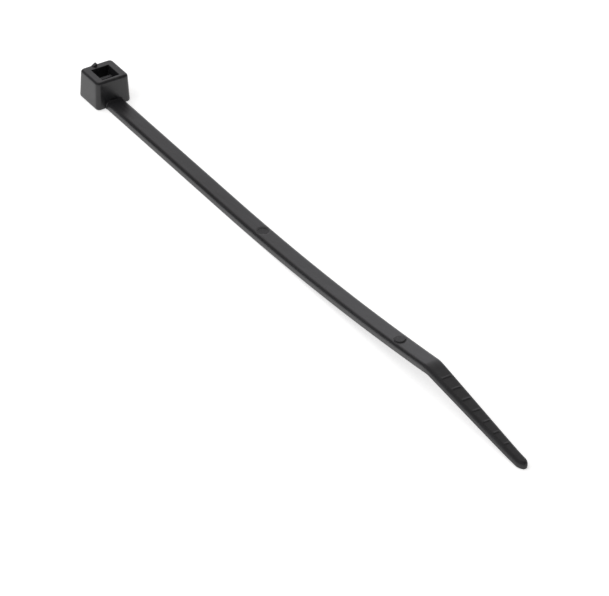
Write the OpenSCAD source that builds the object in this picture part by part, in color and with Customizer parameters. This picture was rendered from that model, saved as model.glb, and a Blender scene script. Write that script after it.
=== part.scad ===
// One-piece nylon cable tie of the nominal 100 mm length, with a strap 2.5 mm wide.
// It lies on the ground as it was moulded: the head stands on its foot with its slot centred on the
// origin, and the strap runs out along +X with its smooth face up and its teeth below.
// In use the strap bends down and round, and its tail goes up through the slot in the head.

/* [Head] */
// Width of the head across the strap, at its top
head_w = 4.85; // [4.4:0.05:6]
// Height of the head
head_h = 4.1; // [3.9:0.1:5.5]
// Draft of the mould: how far each side leans out from the top to the foot
head_draft = 0.18; // [0.04:0.02:0.24]
// Radius of the four upright corners
head_corner_r = 0.6; // [0.4:0.05:0.8]
// Radius round the top and the foot
head_edge_r = 0.32; // [0.16:0.02:0.4]

/* [Slot and pawl] */
// Length of the slot along the strap, at the top of the head
slot_l = 2.9; // [2.6:0.05:3.4]
// Wall behind the slot, on the side away from the strap
back_wall = 1.15; // [0.8:0.05:1.5]
// Wall in front of the slot, on the side of the strap
front_wall = 0.65; // [0.6:0.05:0.9]
// Play of the strap between the side walls, on each side
side_play = 0.06; // [0.05:0.01:0.14]
// Play of the strap between the back wall and the foot of the pawl
back_play = 0.3; // [0.2:0.02:0.4]
// Break of the sharp edge round the top of the slot
rim_break = 0.06; // [0.04:0.01:0.12]
// Flare round the mouth under the head, where the tail is threaded in
mouth_flare = 0.3; // [0.1:0.05:0.4]
// Height of the solid foot that carries both the strap and the pawl
pawl_foot = 1.15; // [1.1:0.05:1.4]
// Thickness of the pawl
pawl_t = 0.9; // [0.6:0.02:0.96]
// How far the tip of the pawl lies below the top of the head
pawl_drop = 0.75; // [0.5:0.05:0.9]
// Height of the bevelled lip above the pawl's last tooth
pawl_lip = 0.22; // [0.15:0.01:0.3]
// Height of the pawl's teeth
pawl_tooth_h = 0.28; // [0.2:0.02:0.3]

/* [Strap] */
// Width of the strap
strap_w = 2.5; // [2.4:0.05:2.8]
// Thickness of the strap over its rails
strap_t = 1.05; // [1:0.01:1.08]
// Radius of the two shoulders of the smooth face
shoulder_r = 0.45; // [0.3:0.01:0.5]
// Radius of the two edges on the toothed face
rail_r = 0.13; // [0.08:0.01:0.15]
// Length that lies flat on the ground, from the head
flat_l = 29; // [20:0.5:40]
// Length of the long bow that lifts the strap
bow_l = 46.9; // [30:0.1:60]
// Radius of that bow, along the toothed face
bow_r = 395; // [350:5:500]
// Radius of the bend where the tail turns down, along the toothed face
bend_r = 5; // [3:0.5:12]

/* [Teeth] */
// Pitch of the teeth
pitch = 0.68; // [0.6:0.01:0.75]
// Height of the teeth
tooth_h = 0.33; // [0.28:0.01:0.38]
// How far the points of the teeth lie below the rails that guard them
tooth_guard = 0.04; // [0.02:0.01:0.08]
// Flat at the point of a tooth, as a length along the strap
tooth_land = 0.09; // [0.05:0.01:0.12]
// Lean of the locking faces, as a length along the strap
tooth_lean = 0.04; // [0.02:0.01:0.06]
// Width of the rail on each side of the teeth
rail_w = 0.3; // [0.22:0.01:0.35]
// Plain neck between the head and the first tooth
neck_l = 5; // [3:0.25:8]
// Plain length between the last tooth and the bend
plain_l = 2.8; // [1:0.1:5]

/* [Tail] */
// Length of the tail from the bend to its tip
tail_l = 18.85; // [15:0.05:22]
// Step down all round the strap where the bend starts, and again where the taper starts
tail_step = 0.02; // [0.01:0.005:0.03]
// Width that the taper would reach at the tip
tip_w = 1.38; // [1.1:0.02:1.6]
// Length of the rounded nose
nose_l = 1.3; // [0.7:0.05:1.5]
// How much wider than the taper the nose's ellipse starts
nose_swell = 1.04; // [1.03:0.01:1.2]
// Radius that rolls the smooth face down to the tip
nose_r = 0.5; // [0.25:0.01:0.6]
// Number of grip ribs across the tail
rib_count = 7; // [3:1:7]
// Spacing of the ribs
rib_pitch = 2.17; // [1.8:0.01:2.3]
// Distance of the first rib from the bend
rib_first = 2.05; // [1.2:0.05:2.4]
// Height of the ribs
rib_h = 0.08; // [0.06:0.01:0.16]
// Length of a rib's gentle side, which faces the head
rib_ramp = 0.35; // [0.3:0.05:0.8]
// How far the ribs stop short of the sides of the tail
rib_inset = 0.34; // [0.25:0.01:0.45]

/* [Moulding marks] */
// Diameter of the marks that the ejector pins left
pin_d = 1.45; // [1.2:0.05:1.8]
// Distance of the first mark from the head: a print, whose pin stood proud in the mould
pin_1 = 37.3; // [31:0.1:50]
// Depth of the first mark
pin_1_depth = 0.05; // [0.03:0.01:0.1]
// Distance of the second mark from the head: a raised disc, whose pin sat back in the mould
pin_2 = 69.3; // [55:0.1:72]
// Height of the second mark
pin_2_height = 0.12; // [0.05:0.01:0.15]
// Length of the torn gate on the back rim of the head
gate_l = 0.7; // [0.4:0.05:1]
// Height of the torn gate
gate_h = 0.32; // [0.2:0.02:0.5]
// Distance of the gate's high end from the middle of the head
gate_y = -0.05; // [-0.4:0.05:0.2]
// Thickness of the torn gate, along the strap
gate_t = 0.5; // [0.3:0.05:0.6]
// Distance of the torn gate from the back of the head
gate_inset = 0.15; // [0.15:0.05:0.4]

/* [Hidden] */

eps = 0.02;
degrees = 180 / PI;

// Slot: its ends and the passage left for the strap
slot_x0 = -slot_l / 2;
slot_x1 = slot_l / 2;
slot_w = strap_w + 2 * side_play;
passage_x1 = slot_x0 + strap_t + back_play;

// Head: its two ends at the top
head_x0 = slot_x0 - back_wall;
head_x1 = slot_x1 + front_wall;

// Pawl: it is as wide as the channel between the rails lets it be, and stands on the foot
channel_w = strap_w - 2 * rail_w;
pawl_w = channel_w - 2 * side_play;
pawl_rise = head_h - pawl_drop - pawl_foot;

// From the edge of the passage it leans until its teeth are as deep in the strap's as they go
pawl_reach = back_play + tooth_guard;
pawl_lean = atan(pawl_reach / pawl_rise);
pawl_l = norm([pawl_reach, pawl_rise]);
pawl_teeth = floor((pawl_l - pawl_lip) / pitch);

// Side view of the strap, along its toothed face from the head's front
bow_a = bow_l / bow_r * degrees;
bow_end = flat_l + bow_l;
bow_rise = bow_r * (1 - cos(bow_a));

// Fall of the tail that brings its tip down to the ground: the radius under the tip is
// found from the middle of the bend
touch = [tail_l - rail_r, bend_r + 2 * tail_step + rail_r];
fall_a = asin((bow_rise - bend_r * cos(bow_a) - rail_r) / norm(touch)) + atan2(touch[1], touch[0]);
bend_end = bow_end + (bow_a + fall_a) / degrees * bend_r;

// Tail: its section at the start, its taper and its nose
tail_w = strap_w - 4 * tail_step;
tail_t = strap_t - 4 * tail_step;
taper_a = atan((tail_w - tip_w) / 2 / tail_l);
nose_w = nose_swell * (tip_w + 2 * nose_l * tan(taper_a));

// How far the bend runs into the bow, and the tail into the bend
lap = 0.3;

// Teeth: first and last place along the strap
tooth_count = floor((bow_end - plain_l - neck_l) / pitch);
channel_d = tooth_h + tooth_guard;

// Place and slope of the toothed face at a distance s from the head: [x, z, slope]
function flat_pose(s) = [head_x1 + s, 0, 0];
function bow_pose(a) = [head_x1 + flat_l + bow_r * sin(a), bow_r * (1 - cos(a)), a];
function bend_pose(a) = [
    bow_pose(bow_a)[0] + bend_r * (sin(bow_a) - sin(a)),
    bow_rise + bend_r * (cos(a) - cos(bow_a)),
    a
];
function tail_pose(l) = [
    bend_pose(-fall_a)[0] + l * cos(fall_a),
    bend_pose(-fall_a)[1] - l * sin(fall_a),
    -fall_a
];
function pose(s) =
    s <= flat_l ? flat_pose(s) :
    s <= bow_end ? bow_pose((s - flat_l) / bow_r * degrees) :
    s <= bend_end ? bend_pose(bow_a - (s - bow_end) / bend_r * degrees) :
    tail_pose(s - bend_end);

// Point of the side view at a distance s along the strap and a height h above its toothed face
function side_point(s, h) = let (p = pose(s)) [p[0] - h * sin(p[2]), p[1] + h * cos(p[2])];

// Sets its children on the toothed face at a distance s, with their X along the strap
module at(s) {
    p = pose(s);
    translate([p[0], 0, p[1]])
        rotate([0, -p[2], 0])
            children();
}

// Extrudes a side view, drawn as [x, z], across the tie
module across(w) {
    rotate([90, 0, 0])
        linear_extrude(height = w, center = true)
            children();
}

// Half of a strap's section: its outer edge is at x = 0 and its toothed face at y = 0
module edge_section(reach, t) {
    translate([-reach, 0])
        square([reach - shoulder_r, t]);
    translate([-reach, rail_r])
        square([reach, t - rail_r - shoulder_r]);
    translate([-reach, 0])
        square([reach - rail_r, t / 2]);
    translate([-shoulder_r, t - shoulder_r])
        circle(r = shoulder_r, $fn = 48);
    translate([-rail_r, rail_r])
        circle(r = rail_r, $fn = 32);
}

// Section of the strap, set in all round by a step: rounded shoulders above, crisper rails below
module strap_section(step = 0) {
    for (side = [0, 1])
        mirror([side, 0])
            translate([strap_w / 2 - step, step])
                edge_section(strap_w / 2 - step, strap_t - 2 * step);
}

// Corner of the head's outer form: a disc with a rounded edge, at the top and at the foot
module corner_disc(low, high) {
    rotate_extrude($fn = 32)
        intersection() {
            union() {
                translate([0, low])
                    square([head_corner_r - head_edge_r, high - low]);
                for (z = [low + head_edge_r, high - head_edge_r])
                    translate([head_corner_r - head_edge_r, z])
                        circle(r = head_edge_r, $fn = 24);
            }
            translate([0, low])
                square([head_corner_r, high - low]);
        }
}

// Outer form of the head: drafted sides, rounded all over
module head_form() {
    hull()
        for (end = [[head_x0, -1], [head_x1, 1]], side = [-1, 1]) {
            translate([end[0] - end[1] * head_corner_r, side * (head_w / 2 - head_corner_r), 0])
                corner_disc(head_h - 2 * head_edge_r, head_h);
            translate([
                end[0] + end[1] * (head_draft - head_corner_r),
                side * (head_w / 2 + head_draft - head_corner_r),
                0
            ])
                corner_disc(0, 2 * head_edge_r);
        }
}

// Four-sided opening in the head that widens by grow from height z0 to height z1
module flared_hole(x0, x1, w, z0, z1, grow) {
    intersection() {
        across(2 * head_w)
            polygon([[x0, z0], [x1, z0], [x1 + grow, z1], [x0 - grow, z1]]);
        translate([2 * head_x0, 0, 0])
            rotate([90, 0, 90])
                linear_extrude(height = 2 * (head_x1 - head_x0))
                    polygon([[-w / 2, z0], [w / 2, z0], [w / 2 + grow, z1], [-w / 2 - grow, z1]]);
    }
}

// Everything that is open inside the head: the mouth, the passage and the room for the pawl
module slot() {
    // Passage, right through
    translate([slot_x0, -slot_w / 2, -eps])
        cube([passage_x1 - slot_x0, slot_w, head_h + 2 * eps]);
    // Room in which the pawl flexes
    translate([slot_x0, -slot_w / 2, pawl_foot])
        cube([slot_x1 - slot_x0, slot_w, head_h]);
    flared_hole(slot_x0, slot_x1, slot_w, head_h - rim_break, head_h + eps, rim_break + eps);
    flared_hole(slot_x0, passage_x1, slot_w, mouth_flare, -eps, mouth_flare / 2 + eps);
}

// Side view of the pawl's teeth: ramps face the mouth, locking faces look up to the exit
function pawl_profile() = concat(
    [[0, -pawl_t / 2]],
    [for (i = [0 : pawl_teeth - 1], k = [0 : 2])
        let (u = pawl_l - pawl_lip - (pawl_teeth - i) * pitch)
            k == 0 ? [0, u] :
            k == 1 ? [-pawl_tooth_h, u + pitch - tooth_land - tooth_lean] :
            [-pawl_tooth_h, u + pitch - tooth_lean]
    ],
    [[0, pawl_l - pawl_lip], [pawl_lip, pawl_l], [pawl_t, pawl_l], [pawl_t, -pawl_t / 2]]
);

// Pawl: a springy tongue that grows from the foot and leans towards the strap in the slot
module pawl() {
    translate([passage_x1, 0, pawl_foot])
        rotate([0, -pawl_lean, 0])
            across(pawl_w)
                polygon(pawl_profile());
}

// Scar of the torn-off gate, across the back rim of the head
module gate_scar() {
    sunk = head_edge_r / 2;
    translate([head_x0 + gate_inset, 0, head_h])
        rotate([90, 0, 90])
            linear_extrude(height = gate_t)
                polygon([
                    [gate_y, -sunk],
                    [gate_y, gate_h],
                    [gate_y - gate_l / 4, gate_h],
                    [gate_y - gate_l, 0],
                    [gate_y - gate_l, -sunk]
                ]);
}

module head() {
    difference() {
        head_form();
        slot();
    }
    pawl();
    gate_scar();
}

// Strap without its teeth: a flat stretch, a long bow, and the bend, which laps into the bow
module strap_bar() {
    translate([slot_x1, 0, 0])
        rotate([90, 0, 90])
            linear_extrude(height = front_wall + flat_l)
                strap_section();
    translate([head_x1 + flat_l, 0, bow_r])
        rotate([90, 90, 0])
            rotate_extrude(angle = bow_a, $fn = 1440)
                translate([bow_r, 0])
                    rotate(90)
                        strap_section();
    translate([
        bow_pose(bow_a)[0] + bend_r * sin(bow_a),
        0,
        bow_rise - bend_r * cos(bow_a)
    ])
        rotate([-90, -90, 0])
            rotate([0, 0, -bow_a - lap / bend_r * degrees])
                rotate_extrude(angle = bow_a + fall_a + lap / bend_r * degrees, $fn = 360)
                    translate([bend_r, 0])
                        rotate(-90)
                            strap_section(tail_step);
}

// Channel under the strap, in the form of its rack: what is left standing in it are the teeth
module rack_cut() {
    across(channel_w)
        polygon(concat(
            [side_point(neck_l, -channel_d)],
            [for (i = [0 : tooth_count - 1], k = [0 : 2])
                let (s = neck_l + i * pitch)
                    k == 0 ? side_point(s, channel_d) :
                    k == 1 ? side_point(s + tooth_lean, tooth_guard) :
                    side_point(s + tooth_lean + tooth_land, tooth_guard)
            ],
            [side_point(neck_l + tooth_count * pitch, channel_d)],
            [for (i = [0 : 11]) side_point(neck_l + tooth_count * pitch * (1 - i / 12), -channel_d)]
        ));
}

module tail_side() {
    translate([0, tail_w / 2, 0])
        rotate([0, 0, -taper_a])
            translate([-tail_w, 0, 0])
                rotate([90, 0, 90])
                    linear_extrude(height = tail_l + 2 * tail_w)
                        edge_section(tail_w, tail_t);
}

// Plan of the tail: straight sides left to the taper, and an elliptical nose
module tail_plan() {
    polygon(concat(
        [[-lap, -tail_w], [tail_l - nose_l, -tail_w]],
        [for (i = [0 : 24])
            let (a = -90 + i * 7.5)
                [tail_l - nose_l + nose_l * cos(a), nose_w / 2 * sin(a)]
        ],
        [[tail_l - nose_l, tail_w], [-lap, tail_w]]
    ));
}

// Side view of the tail: its smooth face rolls down to the tip
module tail_side_view() {
    translate([-lap, 0])
        square([lap + tail_l - nose_r, tail_t]);
    translate([0, rail_r])
        square([tail_l, tail_t - nose_r - rail_r]);
    square([tail_l - rail_r, 2 * rail_r]);
    translate([tail_l - nose_r, tail_t - nose_r])
        circle(r = nose_r, $fn = 64);
    translate([tail_l - rail_r, rail_r])
        circle(r = rail_r, $fn = 32);
}

// Low rib: a gentle ramp towards the head and a short slope towards the tip
module rib(w) {
    across(w)
        polygon([[-rib_ramp, -eps], [-rib_ramp, 0], [-rib_h / 2, rib_h], [0, rib_h], [rib_h, 0], [rib_h, -eps]]);
}

module tail() {
    at(bend_end) translate([0, 0, 2 * tail_step]) {
        intersection() {
            tail_side();
            mirror([0, 1, 0])
                tail_side();
            linear_extrude(height = 2 * tail_t)
                tail_plan();
            across(2 * tail_w)
                tail_side_view();
        }
        for (i = [0 : rib_count - 1]) {
            l = rib_first + i * rib_pitch;
            translate([l, 0, tail_t])
                rib(tail_w - 2 * (l * tan(taper_a) + rib_inset));
        }
    }
}

// Disc on the smooth face at a distance s, between two heights over the toothed face
module pin_disc(s, low, high) {
    at(s)
        translate([0, 0, low])
            cylinder(d = pin_d, h = high - low, $fn = 48);
}

module strap() {
    difference() {
        strap_bar();
        rack_cut();
        pin_disc(pin_1, strap_t - pin_1_depth, 2 * strap_t);
    }
    pin_disc(pin_2, strap_t / 2, strap_t + pin_2_height);
    tail();
}

module cable_tie() {
    color([0.12, 0.12, 0.13]) {
        head();
        strap();
    }
}

cable_tie();
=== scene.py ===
import math

import bmesh
import bpy
from mathutils import Matrix, Quaternion, Vector


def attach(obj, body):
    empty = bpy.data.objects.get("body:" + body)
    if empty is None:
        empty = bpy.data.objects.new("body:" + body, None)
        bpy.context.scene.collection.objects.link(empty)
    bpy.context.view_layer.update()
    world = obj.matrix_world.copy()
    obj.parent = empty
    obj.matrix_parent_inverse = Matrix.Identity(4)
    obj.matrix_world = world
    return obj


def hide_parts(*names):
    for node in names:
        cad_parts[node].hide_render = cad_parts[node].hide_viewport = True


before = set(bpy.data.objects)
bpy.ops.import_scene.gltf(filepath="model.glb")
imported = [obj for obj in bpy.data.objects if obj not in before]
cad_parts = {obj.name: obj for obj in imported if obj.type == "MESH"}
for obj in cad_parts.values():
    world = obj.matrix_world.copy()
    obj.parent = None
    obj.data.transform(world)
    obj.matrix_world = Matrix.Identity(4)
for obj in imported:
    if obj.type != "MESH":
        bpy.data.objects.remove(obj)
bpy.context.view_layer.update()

# Strap: the long band of the moulding, black nylon, smooth above and toothed below.
# It is lofted from the head to the tip through one ring of points after another, all sizes
# in millimetres until the finished moulding is scaled to metres.
slot_l, front_wall = 2.9, 0.65
slot_x1 = slot_l / 2
head_x1 = slot_x1 + front_wall
flat_l, bow_l, bow_r, bend_r = 29, 46.9, 395, 5
bow_end = flat_l + bow_l
strap_w, strap_t = 2.5, 1.05
shoulder_r, rail_w, rail_r, lip_r = 0.45, 0.3, 0.13, 0.035
# Up to the bend each flank stands out by a hair, and the smooth face has a slighter crown still
extra_half, crown, crown_power = 0.02, 0.003, 4
# The root at the head is a little thicker, up to a fillet where the plain strap begins
root_l, root_fillet, root_rings_from = 0.35, 0.05, 0.09
# The end hidden in the head starts far inside it and is lifted clear of the foot's face
hidden_rings, hidden_l, hair = [-1.05, -0.6, -0.3, -0.2, -0.1], 0.1, 0.01

# Rack: the saw teeth under the strap, in a channel between two rails, as the mould cut them.
# The steep faces look to the head and the ramps to the tail; both ends of the rack are plain.
pitch, tooth_h, tooth_guard = 0.68, 0.33, 0.04
tooth_land, tooth_lean = 0.09, 0.04
ramp_l = pitch - tooth_lean - tooth_land
neck_l, plain_l = 5, 2.8
channel_d = tooth_h + tooth_guard
channel_half = strap_w / 2 - rail_w
tooth_count = int((bow_end - plain_l - neck_l) / pitch)

# Tail: the end that goes through the slot first, a step smaller than the strap and tapered to a
# rounded nose. Seven low ribs give the fingers a grip. It falls by the angle that brings its toe
# down to the sheet, and has set a little to one side, its nose most.
tail_l, tail_inset = 18.85, 0.04
tip_w, nose_l, nose_swell, nose_r = 1.38, 1.3, 1.04, 0.5
tail_set, nose_set, nose_set_power = 0.08, 0.18, 14
# A rib has a ramp, a land and a fall along the tail, and fades out before it reaches the flanks
rib_count, rib_pitch, rib_first = 7, 2.17, 1.93
rib_h, rib_ramp, rib_land, rib_fall = 0.075, 0.35, 0.03, 0.11
rib_clear, rib_fade = 0.62 * shoulder_r, 0.4
bow_a = bow_l / bow_r
bow_rise = bow_r * (1 - math.cos(bow_a))
touch_l, touch_r = tail_l - rail_r, bend_r + tail_inset + rail_r
fall_a = math.asin((bow_rise - bend_r * math.cos(bow_a) - rail_r) / math.hypot(touch_l, touch_r))
fall_a += math.atan2(touch_r, touch_l)
bend_end = bow_end + (bow_a + fall_a) * bend_r
taper = (strap_w - 2 * tail_inset - tip_w) / 2 / tail_l

# Pin marks: two ejector pins pushed the moulding out of the mould. One stood proud and left a
# print, the other sat back and left a raised disc, and a shallow groove runs round each.
# A mark's numbers are its distance from the head, its place across the strap and its height.
pins = [(37.3, 0.0, -0.05), (69.3, -0.1, 0.12)]
pin_r, pin_edge, groove_w, groove_d = 0.725, 0.06, 0.2, 0.035


def smooth_step(low, high, x):
    """Rises smoothly from 0 at low to 1 at high."""
    t = min(max((x - low) / (high - low), 0), 1)
    return t * t * (3 - 2 * t)


def fall_away(r, x):
    """How far a round of radius r has fallen away at a distance x into it."""
    x = min(max(x, 0), r)
    return r - math.sqrt(r**2 - x**2)


def quarter_turn(steps):
    """Angles from 0 to 90 degrees, in radians, that draw a round in the given number of steps."""
    return [math.pi / 2 * i / steps for i in range(steps + 1)]


def strap_pose(s):
    """Place and slope of the toothed face at a distance s from the head's front: x, z, slope."""
    if s <= flat_l:
        return head_x1 + s, 0, 0
    if s <= bow_end:
        a = (s - flat_l) / bow_r
        return head_x1 + flat_l + bow_r * math.sin(a), bow_r * (1 - math.cos(a)), a
    a = bow_a - min(s - bow_end, bend_end - bow_end) / bend_r
    x = head_x1 + flat_l + bow_r * math.sin(bow_a) + bend_r * (math.sin(bow_a) - math.sin(a))
    z = bow_rise + bend_r * (math.cos(a) - math.cos(bow_a))
    rest = max(s - bend_end, 0)
    return x + rest * math.cos(a), z + rest * math.sin(a), a


def strap_point(s, y, h):
    """Point of the strap at s from the head's front, y across it and h over the toothed face."""
    x, z, slope = strap_pose(s)
    far = max(s - bend_end, 0) / tail_l
    sideways = tail_set * far + nose_set * far**nose_set_power
    return x - h * math.sin(slope), y + sideways, z + h * math.cos(slope)


def strap_bounds(s):
    """Half width of the strap, and the heights of its lower and upper face over the toothed face."""
    bent = smooth_step(bow_end, bend_end, s)
    low = tail_inset * bent
    high = strap_t - low
    half = strap_w / 2 + extra_half * (1 - bent) - low
    tail = s - bend_end
    if tail > 0:
        half -= tail * taper
        nose = tail - (tail_l - nose_l)
        if nose > 0:
            nose_half = nose_swell * (tip_w / 2 + nose_l * taper)
            half = min(half, nose_half * math.sqrt(max(1 - (nose / nose_l) ** 2, 0)))
        high -= fall_away(nose_r, tail - (tail_l - nose_r))
        low += fall_away(rail_r, tail - (tail_l - rail_r))
    root = fall_away(root_fillet, root_l - s)
    if s < -hidden_l:
        low += hair
    return half + root, low, high + root


def rack_floor(s):
    """Height of the channel's floor over the toothed face, or None where there is no channel."""
    along = s - neck_l
    if along < 0 or along > tooth_count * pitch:
        return None
    u = along % pitch
    if u < tooth_lean:
        return channel_d - tooth_h * u / tooth_lean
    if u < tooth_lean + tooth_land:
        return tooth_guard
    return tooth_guard + tooth_h * (u - tooth_lean - tooth_land) / ramp_l


def smooth_face_relief(s, y, half):
    """Height of the ribs and pin marks on the smooth face, less the grooves round the pins."""
    relief = 0
    for place, across, height in pins:
        far = math.hypot(s - place, y - across)
        relief += height * (1 - smooth_step(pin_r - pin_edge, pin_r, far))
        relief -= groove_d * max(1 - abs(far - pin_r - groove_w / 2) / (groove_w / 2), 0)
    for i in range(rib_count):
        u = s - bend_end - rib_first - i * rib_pitch
        if -rib_ramp < u < rib_fall:
            rise = smooth_step(-rib_ramp, -rib_land, u) * (1 - smooth_step(0, rib_fall, u))
            edge = half - rib_clear
            relief += rib_h * rise * (1 - smooth_step(edge - rib_fade, edge, abs(y)))
    return relief


# Points of a ring, and the largest shares of the shrinking nose that its rounds may take
top_steps, shoulder_steps, flank_steps, rail_steps, lip_steps = 12, 8, 3, 4, 2
shoulder_of_half, shoulder_of_thick, rail_share = 0.85, 0.6, 0.3
channel_share, lip_share = 0.6, 0.8


def half_section(s):
    """Right half of the ring at s, from the middle of the smooth face round to the middle below."""
    half, low, high = strap_bounds(s)
    thick = high - low
    r_top = min(shoulder_r, shoulder_of_half * half, shoulder_of_thick * thick)
    r_low = min(rail_r, rail_share * half, rail_share * thick)
    points = []
    for i in range(top_steps):
        t = i / top_steps
        points.append(((half - r_top) * t, high - crown * t**crown_power))
    for a in quarter_turn(shoulder_steps):
        droop = crown * (1 + crown_power * r_top * math.sin(a) / (half - r_top))
        points.append((half - r_top + r_top * math.sin(a), high - droop - r_top + r_top * math.cos(a)))
    for i in range(1, flank_steps):
        points.append((half, high - r_top + (low + r_low - high + r_top) * i / flank_steps))
    for a in quarter_turn(rail_steps):
        points.append((half - r_low + r_low * math.cos(a), low + r_low - r_low * math.sin(a)))
    wall = min(channel_half, channel_share * half)
    channel_floor = rack_floor(s)
    depth = 0 if channel_floor is None else channel_floor - low
    lip = min(lip_r, lip_share * depth)
    for a in quarter_turn(lip_steps):
        points.append((wall + lip - lip * math.sin(a), low + lip - lip * math.cos(a)))
    points += [(wall, low + depth), (wall / 2, low + depth), (0, low + depth)]
    return points


# Rings along each stretch of the strap, with closer ones on the ramps under a pin mark
neck_steps, plain_steps, bend_steps, grip_steps, nose_steps = 16, 12, 24, 220, 40
root_steps, ramp_steps, ramp_steps_at_pin, pin_zone = 8, 3, 9, 1.5


def strap_stations():
    """Distances from the head at which the loft has a ring: close together where the form is fine."""
    stations = hidden_rings + [0.0]
    root_rings_l = root_l - root_rings_from
    stations += [root_rings_from + root_rings_l * (1 - math.cos(a)) for a in quarter_turn(root_steps)]
    stations += [root_l + (neck_l - root_l) * i / neck_steps for i in range(1, neck_steps)]
    stations += [neck_l - hair]
    for i in range(tooth_count):
        start = neck_l + i * pitch
        ramp = start + tooth_lean + tooth_land
        at_pin = any(abs(start - pin[0]) < pin_zone for pin in pins)
        steps = ramp_steps_at_pin if at_pin else ramp_steps
        stations += [start, start + tooth_lean / 2, start + tooth_lean, ramp]
        stations += [ramp + ramp_l * k / steps for k in range(1, steps)]
    rack_end = neck_l + tooth_count * pitch
    stations += [rack_end - hair, rack_end]
    plain = rack_end + hair
    stations += [plain + (bow_end - plain) * i / plain_steps for i in range(plain_steps + 1)]
    stations += [bow_end + (bend_end - bow_end) * i / bend_steps for i in range(1, bend_steps + 1)]
    grip_l = tail_l - nose_l
    stations += [bend_end + grip_l * i / grip_steps for i in range(1, grip_steps + 1)]
    stations += [bend_end + grip_l + nose_l * math.sin(a) for a in quarter_turn(nose_steps)[1:-1]]
    stations += [bend_end + tail_l - hair / 10]
    return stations


def add_piece(name, shape):
    """Puts a finished bmesh into the scene as a mesh object."""
    mesh = bpy.data.meshes.new(name)
    shape.to_mesh(mesh)
    shape.free()
    piece = bpy.data.objects.new(name, mesh)
    bpy.context.scene.collection.objects.link(piece)
    return piece


def loft(name, rings, same_point=1e-5):
    """Closed mesh through rings of points, with a flat face over each end."""
    shape = bmesh.new()
    rows = [[shape.verts.new(p) for p in ring] for ring in rings]
    count = len(rows[0])
    for low, high in zip(rows, rows[1:]):
        for i in range(count):
            j = (i + 1) % count
            shape.faces.new((low[i], low[j], high[j], high[i]))
    shape.faces.new(list(reversed(rows[0])))
    shape.faces.new(rows[-1])
    bmesh.ops.remove_doubles(shape, verts=shape.verts, dist=same_point)
    bmesh.ops.dissolve_degenerate(shape, edges=shape.edges, dist=same_point)
    bmesh.ops.recalc_face_normals(shape, faces=shape.faces)
    return add_piece(name, shape)


rings = []
smooth_count = top_steps + shoulder_steps
for s in strap_stations():
    half = strap_bounds(s)[0]
    right = half_section(s)
    section = right + [(-y, h) for y, h in reversed(right[1:-1])]
    ring = []
    for i, (y, h) in enumerate(section):
        if i <= smooth_count or i >= len(section) - smooth_count:
            h += smooth_face_relief(s, y, half)
        ring.append(strap_point(s, y, h))
    rings.append(ring)
moulding = loft("tie_moulding", rings)

# Head: a small drafted block with rounded corners, moulded in one with the strap.
# Its skin is lofted through rounded rectangles from the foot to the top, and its four sides
# have sunk by a hair where the nylon shrank as it cooled.
head_w, head_h, head_draft, back_wall = 4.85, 4.1, 0.18, 1.15
head_corner_r, head_edge_r, sink = 0.6, 0.32, 0.008
corner_steps, side_steps, edge_steps, wall_steps = 8, 8, 6, 8
slot_x0 = -slot_x1
head_x0 = slot_x0 - back_wall


def rounded_rectangle(x0, x1, half_y, r, z, sides=side_steps, hollow=0):
    """Ring of points round a rectangle with rounded corners; hollow draws the sides' middles in."""
    points = []
    right, left, top = x1 - r, x0 + r, half_y - r
    corners = [(right, top), (left, top), (left, -top), (right, -top)]
    for number, (cx, cy) in enumerate(corners):
        nx, ny = corners[(number + 1) % 4]
        for i in range(corner_steps + 1):
            a = math.radians(90 * number + 90 * i / corner_steps)
            points.append((cx + r * math.cos(a), cy + r * math.sin(a), z))
        side_a = math.radians(90 * number + 90)
        out = Vector((math.cos(side_a), math.sin(side_a)))
        for i in range(1, sides):
            u = i / sides
            dip = r - hollow * (1 - (2 * u - 1) ** 2)
            points.append((cx + (nx - cx) * u + out.x * dip, cy + (ny - cy) * u + out.y * dip, z))
    return points


# Each level is a height and how far the edge's round draws the skin in there
head_levels = []
for a in quarter_turn(edge_steps):
    head_levels.append((head_edge_r * (1 - math.cos(a)), head_edge_r * (1 - math.sin(a))))
for i in range(1, wall_steps):
    head_levels.append((head_edge_r + (head_h - 2 * head_edge_r) * i / wall_steps, 0))
for a in quarter_turn(edge_steps):
    head_levels.append((head_h - head_edge_r * (1 - math.sin(a)), head_edge_r * (1 - math.cos(a))))
head_rings = []
for z, inset in head_levels:
    grow = head_draft * (1 - z / head_h) - inset
    x0, x1, half_w, r = head_x0 - grow, head_x1 + grow, head_w / 2 + grow, head_corner_r - inset
    hollow = sink * math.sin(math.pi * z / head_h) ** 2
    head_rings.append(rounded_rectangle(x0, x1, half_w, r, z, hollow=hollow))
head = loft("head", head_rings)

# Slot: the opening that the tail is pulled through, upright through the head.
# A narrow passage leads up from a flared mouth under the head, beside the solid foot, and
# opens into the room where the pawl has space to flex.
side_play, back_play, pawl_foot = 0.06, 0.3, 1.15
slot_corner_r, rim_r, room_floor_r, slot_sides = 0.12, 0.06, 0.05, 2
room_floor_mid = 0.3 * room_floor_r
mouth_h, mouth_rim, below_mouth = 0.3, 0.03, 0.05
mouth_out = mouth_h / 2
slot_half = strap_w / 2 + side_play
passage_x1 = slot_x0 + strap_t + back_play
# The cutting solids stand out of the head, overlap, and have no two walls in one plane
cut_past, cut_over, cut_gap = 0.5, 0.3, 0.004


def slot_loft(name, x0, x1, half, levels):
    """Loft through the slot, whose walls stand back by the given amount at each height."""
    slot_rings = []
    for z, out in levels:
        r = slot_corner_r + max(out, 0)
        slot_rings.append(rounded_rectangle(x0 - out, x1 + out, half + out, r, z, slot_sides))
    return loft(name, slot_rings)


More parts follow.
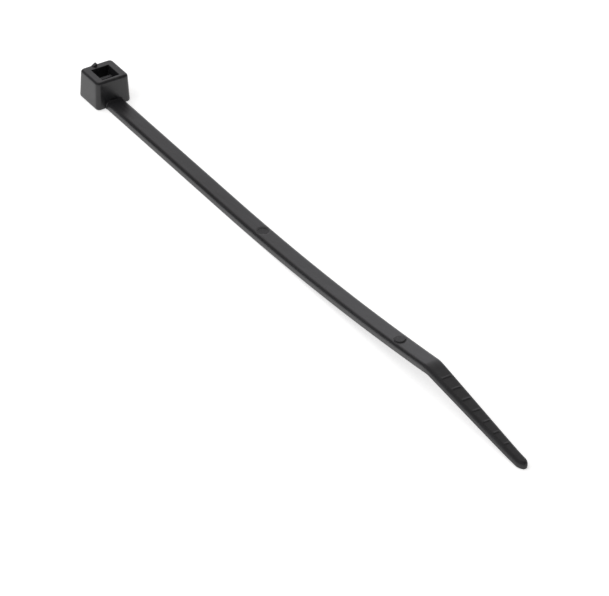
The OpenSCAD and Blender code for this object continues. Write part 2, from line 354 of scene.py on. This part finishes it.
# The room's floor has a round of three points, and its rim a finer one
room_levels = [
    (pawl_foot, -room_floor_r),
    (pawl_foot + room_floor_mid, -room_floor_mid),
    (pawl_foot + room_floor_r, 0),
]
for a in quarter_turn(edge_steps):
    room_levels.append((head_h - rim_r * (1 - math.sin(a)), rim_r * (1 - math.cos(a))))
room_levels.append((head_h + cut_past, rim_r + hair))
room = slot_loft("pawl_room", slot_x0, slot_x1, slot_half, room_levels)
passage_levels = [
    (-cut_past, mouth_out + below_mouth),
    (0, mouth_out + mouth_rim),
    (mouth_rim, mouth_out - hair),
    (mouth_h, -cut_gap),
    (pawl_foot + cut_over, -cut_gap),
]
passage = slot_loft("passage", slot_x0, passage_x1, slot_half, passage_levels)

# Pawl: the springy tongue that locks the strap, standing on the foot and leaning towards it.
# Its teeth have ramps towards the mouth and locking faces towards the exit.
pawl_t, pawl_drop, pawl_lip, pawl_tooth_h, pawl_edge_r = 0.9, 0.75, 0.22, 0.28, 0.035
pawl_w = 2 * channel_half - 2 * side_play
pawl_rise, pawl_reach = head_h - pawl_drop - pawl_foot, back_play + tooth_guard
pawl_lean, pawl_l = math.atan2(pawl_reach, pawl_rise), math.hypot(pawl_reach, pawl_rise)
pawl_teeth = int((pawl_l - pawl_lip) / pitch)
edge_cuts = 2


def extrude_profile(name, profile, y0, y1, edge_r):
    """Solid with the given side view, from y0 to y1, with its edges broken."""
    shape = bmesh.new()
    near = [shape.verts.new((x, y0, z)) for x, z in profile]
    far = [shape.verts.new((x, y1, z)) for x, z in profile]
    shape.faces.new(near)
    shape.faces.new(list(reversed(far)))
    for i in range(len(profile)):
        j = (i + 1) % len(profile)
        shape.faces.new((near[j], near[i], far[i], far[j]))
    bmesh.ops.recalc_face_normals(shape, faces=shape.faces)
    edges = list(shape.edges)
    bmesh.ops.bevel(shape, geom=edges, offset=edge_r, segments=edge_cuts, affect="EDGES", clamp_overlap=True)
    return add_piece(name, shape)


pawl_profile = [(0, -pawl_t / 2)]
for i in range(pawl_teeth):
    root = pawl_l - pawl_lip - (pawl_teeth - i) * pitch
    crest = root + pitch - tooth_land - tooth_lean
    pawl_profile += [(0, root), (-pawl_tooth_h, crest), (-pawl_tooth_h, crest + tooth_land)]
pawl_profile += [(0, pawl_l - pawl_lip), (pawl_lip, pawl_l), (pawl_t, pawl_l), (pawl_t, -pawl_t / 2)]
leaning = []
for x, z in pawl_profile:
    lean_x = passage_x1 + x * math.cos(pawl_lean) - z * math.sin(pawl_lean)
    lean_z = pawl_foot + x * math.sin(pawl_lean) + z * math.cos(pawl_lean)
    leaning.append((lean_x, lean_z))
pawl = extrude_profile("pawl", leaning, -pawl_w / 2, pawl_w / 2, pawl_edge_r)

# Gate scar: the stub of nylon left on the back rim where the runner was torn off.
# It is a small wedge that stands on the rim, and its torn top is a little paler and duller.
gate_l, gate_h, gate_t, gate_y, gate_inset = 0.7, 0.32, 0.5, -0.05, 0.15
gate_top_l, gate_root, gate_edge_r = gate_l / 4, 0.14, 0.03
gate_back = -head_x0 - gate_inset
gate_profile = [
    (gate_y, head_h - gate_root),
    (gate_y, head_h + gate_h),
    (gate_y - gate_top_l, head_h + gate_h),
    (gate_y - gate_l, head_h),
    (gate_y - gate_l, head_h - gate_root),
]
gate = extrude_profile("gate_scar", gate_profile, gate_back - gate_t, gate_back, gate_edge_r)
gate.data.transform(Matrix.Rotation(math.pi / 2, 4, "Z"))

# Moulding: head, pawl, gate and strap are one shot of nylon, so they become one closed mesh
# that stands for the CAD solid.
mm_per_m, crease_angle = 1000, 38


def combine(target, tool, operation):
    """Applies one solid to another and removes the tool."""
    step = target.modifiers.new("step", "BOOLEAN")
    step.operation = operation
    step.object = tool
    step.solver = "EXACT"
    bpy.context.view_layer.update()
    result = bpy.data.meshes.new_from_object(target.evaluated_get(bpy.context.evaluated_depsgraph_get()))
    target.modifiers.clear()
    target.data = result
    bpy.data.objects.remove(tool)


combine(head, room, "DIFFERENCE")
combine(head, passage, "DIFFERENCE")
combine(head, pawl, "UNION")
combine(head, gate, "UNION")
combine(moulding, head, "UNION")
moulding.data.transform(Matrix.Scale(1 / mm_per_m, 4))
moulding.data.shade_smooth()
moulding.data.set_sharp_from_angle(angle=math.radians(crease_angle))
settle = moulding.modifiers.new("flat faces stay flat", "WEIGHTED_NORMAL")
settle.keep_sharp = True

# Black nylon: a moulding grade filled with carbon black, glossy where the mould was polished.
# Its flow from the gate shows as faint streaks along the strap, the skin has sunk and rippled by
# a few thousandths of a millimetre, and the tail is matt, from a spark-eroded part of the mould.
pigment_dark, pigment_light = (0.0135, 0.0135, 0.0148, 1), (0.0215, 0.0215, 0.0235, 1)
torn_colour, worn_colour = (0.045, 0.045, 0.048, 1), (0.04, 0.04, 0.042, 1)
refraction, grain_size = 1.53, 0.12
# Lumps of each unevenness in a millimetre along, across and up, and the spread of its values
streak_lumps, ripple_lumps, wear_lumps = (0.12, 2.2, 1.2), (0.35, 0.7, 0.6), (1.1, 1.6, 1.6)
streak_detail, ripple_detail, wear_detail, grain_detail = 3, 2, 3, 1.5
streak_low, streak_high = 0.3, 0.7
wear_low, wear_high, wear_least = 0.45, 0.62, 0.15
# Wear starts where the normal, rounded off by this radius in metres, turns from the face's own
worn_edge_r, same_normal, other_normal, worn_edge_samples = 0.00012, 0.995, 0.93, 4
rough_low, rough_high, matt_rough, grain_rough, worn_rough = 0.27, 0.34, 0.2, 0.06, 0.12
# Heights of the relief in metres
ripple_h, streak_h, gloss_grain_h, matt_grain_h = 18e-6, 7e-6, 1.5e-6, 6e-6


def add_node(tree, kind, inputs, **settings):
    """Shader node with its settings, and with links or plain values for the inputs named."""
    node = tree.nodes.new(kind)
    for name, value in settings.items():
        setattr(node, name, value)
    for name, value in inputs.items():
        if isinstance(value, bpy.types.NodeSocket):
            tree.links.new(value, node.inputs[name])
        else:
            node.inputs[name].default_value = value
    return node


def add_math(tree, operation, *values):
    """Math node whose inputs are links or plain numbers; gives its output."""
    return add_node(tree, "ShaderNodeMath", dict(enumerate(values)), operation=operation).outputs[0]


def add_noise(tree, place, detail):
    """Noise with one lump to each unit of the place; gives its output."""
    inputs = {"Vector": place, "Scale": 1, "Detail": detail}
    return add_node(tree, "ShaderNodeTexNoise", inputs).outputs["Fac"]


def add_lumps(tree, place, lumps, detail):
    """Noise with the given number of lumps to a millimetre along each axis; gives its output."""
    inputs = {"Vector": place, "Scale": [mm_per_m * count for count in lumps]}
    return add_noise(tree, add_node(tree, "ShaderNodeMapping", inputs).outputs[0], detail)


def add_range(tree, value, low, high, to_low, to_high):
    """Map Range node from low..high to to_low..to_high; gives its output."""
    inputs = {"Value": value, "From Min": low, "From Max": high, "To Min": to_low, "To Max": to_high}
    return add_node(tree, "ShaderNodeMapRange", inputs).outputs["Result"]


def add_colours(tree, factor, first, second):
    """Mix of two colours, each a link or a plain colour; gives its output."""
    inputs = {"Factor": factor, "A": first, "B": second}
    return add_node(tree, "ShaderNodeMix", inputs, data_type="RGBA").outputs["Result"]


skin_group = bpy.data.node_groups.new("nylon_skin", "ShaderNodeTree")
skin_group.interface.new_socket("Place", in_out="INPUT", socket_type="NodeSocketVector")
for name in ("Matt", "Pale", "Grain size"):
    skin_group.interface.new_socket(name, in_out="INPUT", socket_type="NodeSocketFloat")
skin_group.interface.new_socket("Color", in_out="OUTPUT", socket_type="NodeSocketColor")
for name in ("Roughness", "Height"):
    skin_group.interface.new_socket(name, in_out="OUTPUT", socket_type="NodeSocketFloat")
skin_in = skin_group.nodes.new("NodeGroupInput").outputs
streaks = add_lumps(skin_group, skin_in["Place"], streak_lumps, streak_detail)
ripple = add_lumps(skin_group, skin_in["Place"], ripple_lumps, ripple_detail)
grain_scale = add_math(skin_group, "DIVIDE", mm_per_m, skin_in["Grain size"])
grain_inputs = {0: skin_in["Place"], "Scale": grain_scale}
grain_place = add_node(skin_group, "ShaderNodeVectorMath", grain_inputs, operation="SCALE").outputs[0]
grain = add_noise(skin_group, grain_place, grain_detail)

# Pigment: carbon black a little unevenly mixed, paler where the nylon was torn
uneven = add_range(skin_group, streaks, streak_low, streak_high, 0, 1)
shade = add_colours(skin_group, uneven, pigment_dark, pigment_light)
shade = add_colours(skin_group, skin_in["Pale"], shade, torn_colour)

# Wear: edges rub against others of the batch and grow a little paler and duller, in patches
rounded = add_node(skin_group, "ShaderNodeBevel", {"Radius": worn_edge_r}, samples=worn_edge_samples)
surface = skin_group.nodes.new("ShaderNodeNewGeometry")
normals = {0: rounded.outputs["Normal"], 1: surface.outputs["Normal"]}
agree = add_node(skin_group, "ShaderNodeVectorMath", normals, operation="DOT_PRODUCT").outputs["Value"]
edge = add_range(skin_group, agree, same_normal, other_normal, 0, 1)
patches = add_lumps(skin_group, skin_in["Place"], wear_lumps, wear_detail)
patches = add_range(skin_group, patches, wear_low, wear_high, wear_least, 1)
worn = add_math(skin_group, "MULTIPLY", edge, patches)
shade = add_colours(skin_group, worn, shade, worn_colour)

# Gloss: uneven by a little along the flow, and dulled by the grain on matt skin
rough = add_range(skin_group, streaks, streak_low, streak_high, rough_low, rough_high)
rough = add_math(skin_group, "MULTIPLY_ADD", skin_in["Matt"], matt_rough, rough)
rough = add_math(skin_group, "MULTIPLY_ADD", grain, grain_rough, rough)
rough = add_math(skin_group, "MULTIPLY_ADD", worn, worn_rough, rough)

# Relief: ripples of the sunk skin, flow lines, and the eroded grain
relief = add_math(skin_group, "MULTIPLY", ripple, ripple_h)
relief = add_math(skin_group, "MULTIPLY_ADD", streaks, streak_h, relief)
grain_h = add_range(skin_group, skin_in["Matt"], 0, 1, gloss_grain_h, matt_grain_h)
relief = add_math(skin_group, "MULTIPLY_ADD", grain, grain_h, relief)
add_node(skin_group, "NodeGroupOutput", {"Color": shade, "Roughness": rough, "Height": relief})

# Where the skin is matt: on the tail, on the pin marks with their grooves, and on the torn stub
tail_fade, tear_low, tear_high = 1.5, 0.02, 0.12
nylon = bpy.data.materials.new("black_nylon")
nylon.use_nodes = True
nylon_tree = nylon.node_tree
place = nylon_tree.nodes.new("ShaderNodeTexCoord").outputs["Object"]
axes = add_node(nylon_tree, "ShaderNodeSeparateXYZ", {0: place}).outputs
tail_x = strap_pose(bow_end)[0]
matt = add_range(nylon_tree, axes["X"], tail_x / mm_per_m, (tail_x + tail_fade) / mm_per_m, 0, 1)
pin_far = []
for s, across in [pin[:2] for pin in pins]:
    centre = [c / mm_per_m for c in strap_point(s, across, strap_t)]
    far = add_node(nylon_tree, "ShaderNodeVectorMath", {0: place, 1: centre}, operation="DISTANCE")
    pin_far.append(add_math(nylon_tree, "MULTIPLY", far.outputs["Value"], mm_per_m))
near_pin = add_math(nylon_tree, "MINIMUM", *pin_far)
pin_face = add_range(nylon_tree, near_pin, pin_r + groove_w, pin_r, 0, 1)
tear = [(head_h + level) / mm_per_m for level in (tear_low, tear_high)]
torn = add_range(nylon_tree, axes["Z"], *tear, 0, 1)
for mask in (pin_face, torn):
    matt = add_math(nylon_tree, "MAXIMUM", matt, mask)
skin_inputs = {"Place": place, "Matt": matt, "Pale": torn, "Grain size": grain_size}
skin = add_node(nylon_tree, "ShaderNodeGroup", skin_inputs, node_tree=skin_group).outputs
bump_inputs = {"Height": skin["Height"], "Strength": 1, "Distance": 1}
bump = add_node(nylon_tree, "ShaderNodeBump", bump_inputs).outputs["Normal"]
shader = nylon_tree.nodes["Principled BSDF"].inputs
shader["IOR"].default_value = refraction
for name, value in [("Base Color", skin["Color"]), ("Roughness", skin["Roughness"]), ("Normal", bump)]:
    nylon_tree.links.new(value, shader[name])
moulding.data.materials.clear()
moulding.data.materials.append(nylon)
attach(moulding, "root")
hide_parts("cable_tie")

# Floor: a plain white sheet of paper that the tie lies on, in metres like all that follows.
# Camera, mirror and glass rays see it lifted to white; the tie's soft shadow on it stays.
sheet_half, sheet_cells = 1.5, 8
paper_white, paper_lift = (0.65, 0.65, 0.65, 1), 0.62
sheet = bmesh.new()
bmesh.ops.create_grid(sheet, x_segments=sheet_cells, y_segments=sheet_cells, size=sheet_half)
floor = add_piece("floor", sheet)
paper = bpy.data.materials.new("white_paper")
paper.use_nodes = True
paper_tree = paper.node_tree
paper_tree.nodes.clear()
diffuse = add_node(paper_tree, "ShaderNodeBsdfDiffuse", {"Color": paper_white})
paths = paper_tree.nodes.new("ShaderNodeLightPath").outputs
seen = paths["Is Camera Ray"]
for ray in ("Is Glossy Ray", "Is Transmission Ray"):
    seen = add_math(paper_tree, "MAXIMUM", seen, paths[ray])
lift = add_math(paper_tree, "MULTIPLY", seen, paper_lift)
glow = add_node(paper_tree, "ShaderNodeEmission", {"Strength": lift})
both = add_node(paper_tree, "ShaderNodeAddShader", {0: diffuse.outputs[0], 1: glow.outputs[0]})
add_node(paper_tree, "ShaderNodeOutputMaterial", {"Surface": both.outputs[0]})
floor.data.materials.append(paper)

# Light: a bright wall beyond the tie, a little cool low down and warmer where it fades out
# overhead, in a dim room, and one broad lamp high on the left that only matt surfaces see.
wall_azimuth, wall_bright_to, wall_dark_from = math.radians(142), math.radians(26), math.radians(48)
wall_strength, room_strength = 0.73, 0.16
# Stops of the wall's brightness, and of its tone, each at a height from level (0) to overhead (1)
wall_levels = [(0, 1.3), (0.36, 1.3), (0.43, 1.22), (0.5, 1.02)]
wall_levels += [(0.55, 0.75), (0.6, 0.59), (0.743, 0.27), (0.9, 0.05)]
wall_tones = [(0.45, (0.985, 0.98, 1.02, 1)), (0.72, (1.06, 1, 0.94, 1))]
lamp_size, lamp_power, lamp_reach = 0.8, 2.7, 0.5
lamp_aim, lamp_way = Vector((0.02, -0.04, 0)), Vector((-0.25, -0.4, 0.88)).normalized()


def add_ramp(tree, value, stops):
    """Colour ramp through stops, each a place on it and a colour; gives its output."""
    ramp = add_node(tree, "ShaderNodeValToRGB", {0: value})
    first, last = ramp.color_ramp.elements
    first.position, first.color = stops[0]
    last.position, last.color = stops[-1]
    for position, colour in stops[1:-1]:
        ramp.color_ramp.elements.new(position).color = colour
    return ramp.outputs["Color"]


world = bpy.data.worlds.new("studio")
bpy.context.scene.world = world
world.use_nodes = True
sky_tree = world.node_tree
sky_tree.nodes.clear()
way = sky_tree.nodes.new("ShaderNodeTexCoord").outputs["Generated"]
way_up = add_node(sky_tree, "ShaderNodeSeparateXYZ", {0: way}).outputs["Z"]
level_way = add_node(sky_tree, "ShaderNodeVectorMath", {0: way, 1: (1, 1, 0)}, operation="MULTIPLY")
level_unit = add_node(sky_tree, "ShaderNodeVectorMath", {0: level_way.outputs[0]}, operation="NORMALIZE")
wall_side = Vector((math.cos(wall_azimuth), math.sin(wall_azimuth), 0))
facing = {0: level_unit.outputs[0], 1: wall_side}
ahead = add_node(sky_tree, "ShaderNodeVectorMath", facing, operation="DOT_PRODUCT").outputs["Value"]
edges = {"Value": ahead, "From Min": math.cos(wall_dark_from), "From Max": math.cos(wall_bright_to)}
width = add_node(sky_tree, "ShaderNodeMapRange", edges, interpolation_type="SMOOTHSTEP").outputs["Result"]
fade = add_ramp(sky_tree, way_up, [(up, (level, level, level, 1)) for up, level in wall_levels])
wall = add_math(sky_tree, "MULTIPLY", fade, width)
strength = add_math(sky_tree, "MULTIPLY_ADD", wall, wall_strength, room_strength)
tone = add_ramp(sky_tree, way_up, wall_tones)
sky = add_node(sky_tree, "ShaderNodeBackground", {"Color": tone, "Strength": strength})
add_node(sky_tree, "ShaderNodeOutputWorld", {"Surface": sky.outputs[0]})
lamp_data = bpy.data.lights.new("soft_lamp", "AREA")
lamp_data.shape = "DISK"
lamp_data.size = lamp_size
lamp_data.energy = lamp_power
lamp = bpy.data.objects.new("soft_lamp", lamp_data)
lamp.location = lamp_aim + lamp_reach * lamp_way
lamp.rotation_euler = lamp_way.to_track_quat("Z", "Y").to_euler()
lamp.visible_glossy = False
bpy.context.scene.collection.objects.link(lamp)

# Camera: a long lens looking down on the tie from beyond its tail, where the photograph's stood.
# Its angles, distance and lens come from fitting the tie's outline to the photograph's.
azimuth, elevation, roll = math.radians(57.823), math.radians(34.452), math.radians(0.145)
aim, distance, focal, sensor_w, nearest = Vector((0.053533, -0.002714, 0)), 0.6073, 288.4, 36, 0.01
back = Vector((
    math.sin(azimuth) * math.cos(elevation),
    -math.cos(azimuth) * math.cos(elevation),
    math.sin(elevation),
))
camera_data = bpy.data.cameras.new("camera")
camera_data.lens = focal
camera_data.sensor_width = sensor_w
camera_data.clip_start = nearest
camera = bpy.data.objects.new("camera", camera_data)
camera.location = aim + back * distance
camera.rotation_mode = "QUATERNION"
camera.rotation_quaternion = back.to_track_quat("Z", "Y") @ Quaternion((0, 0, 1), -roll)
bpy.context.scene.collection.objects.link(camera)
bpy.context.scene.camera = camera
bpy.context.scene.view_settings.view_transform = "Standard"
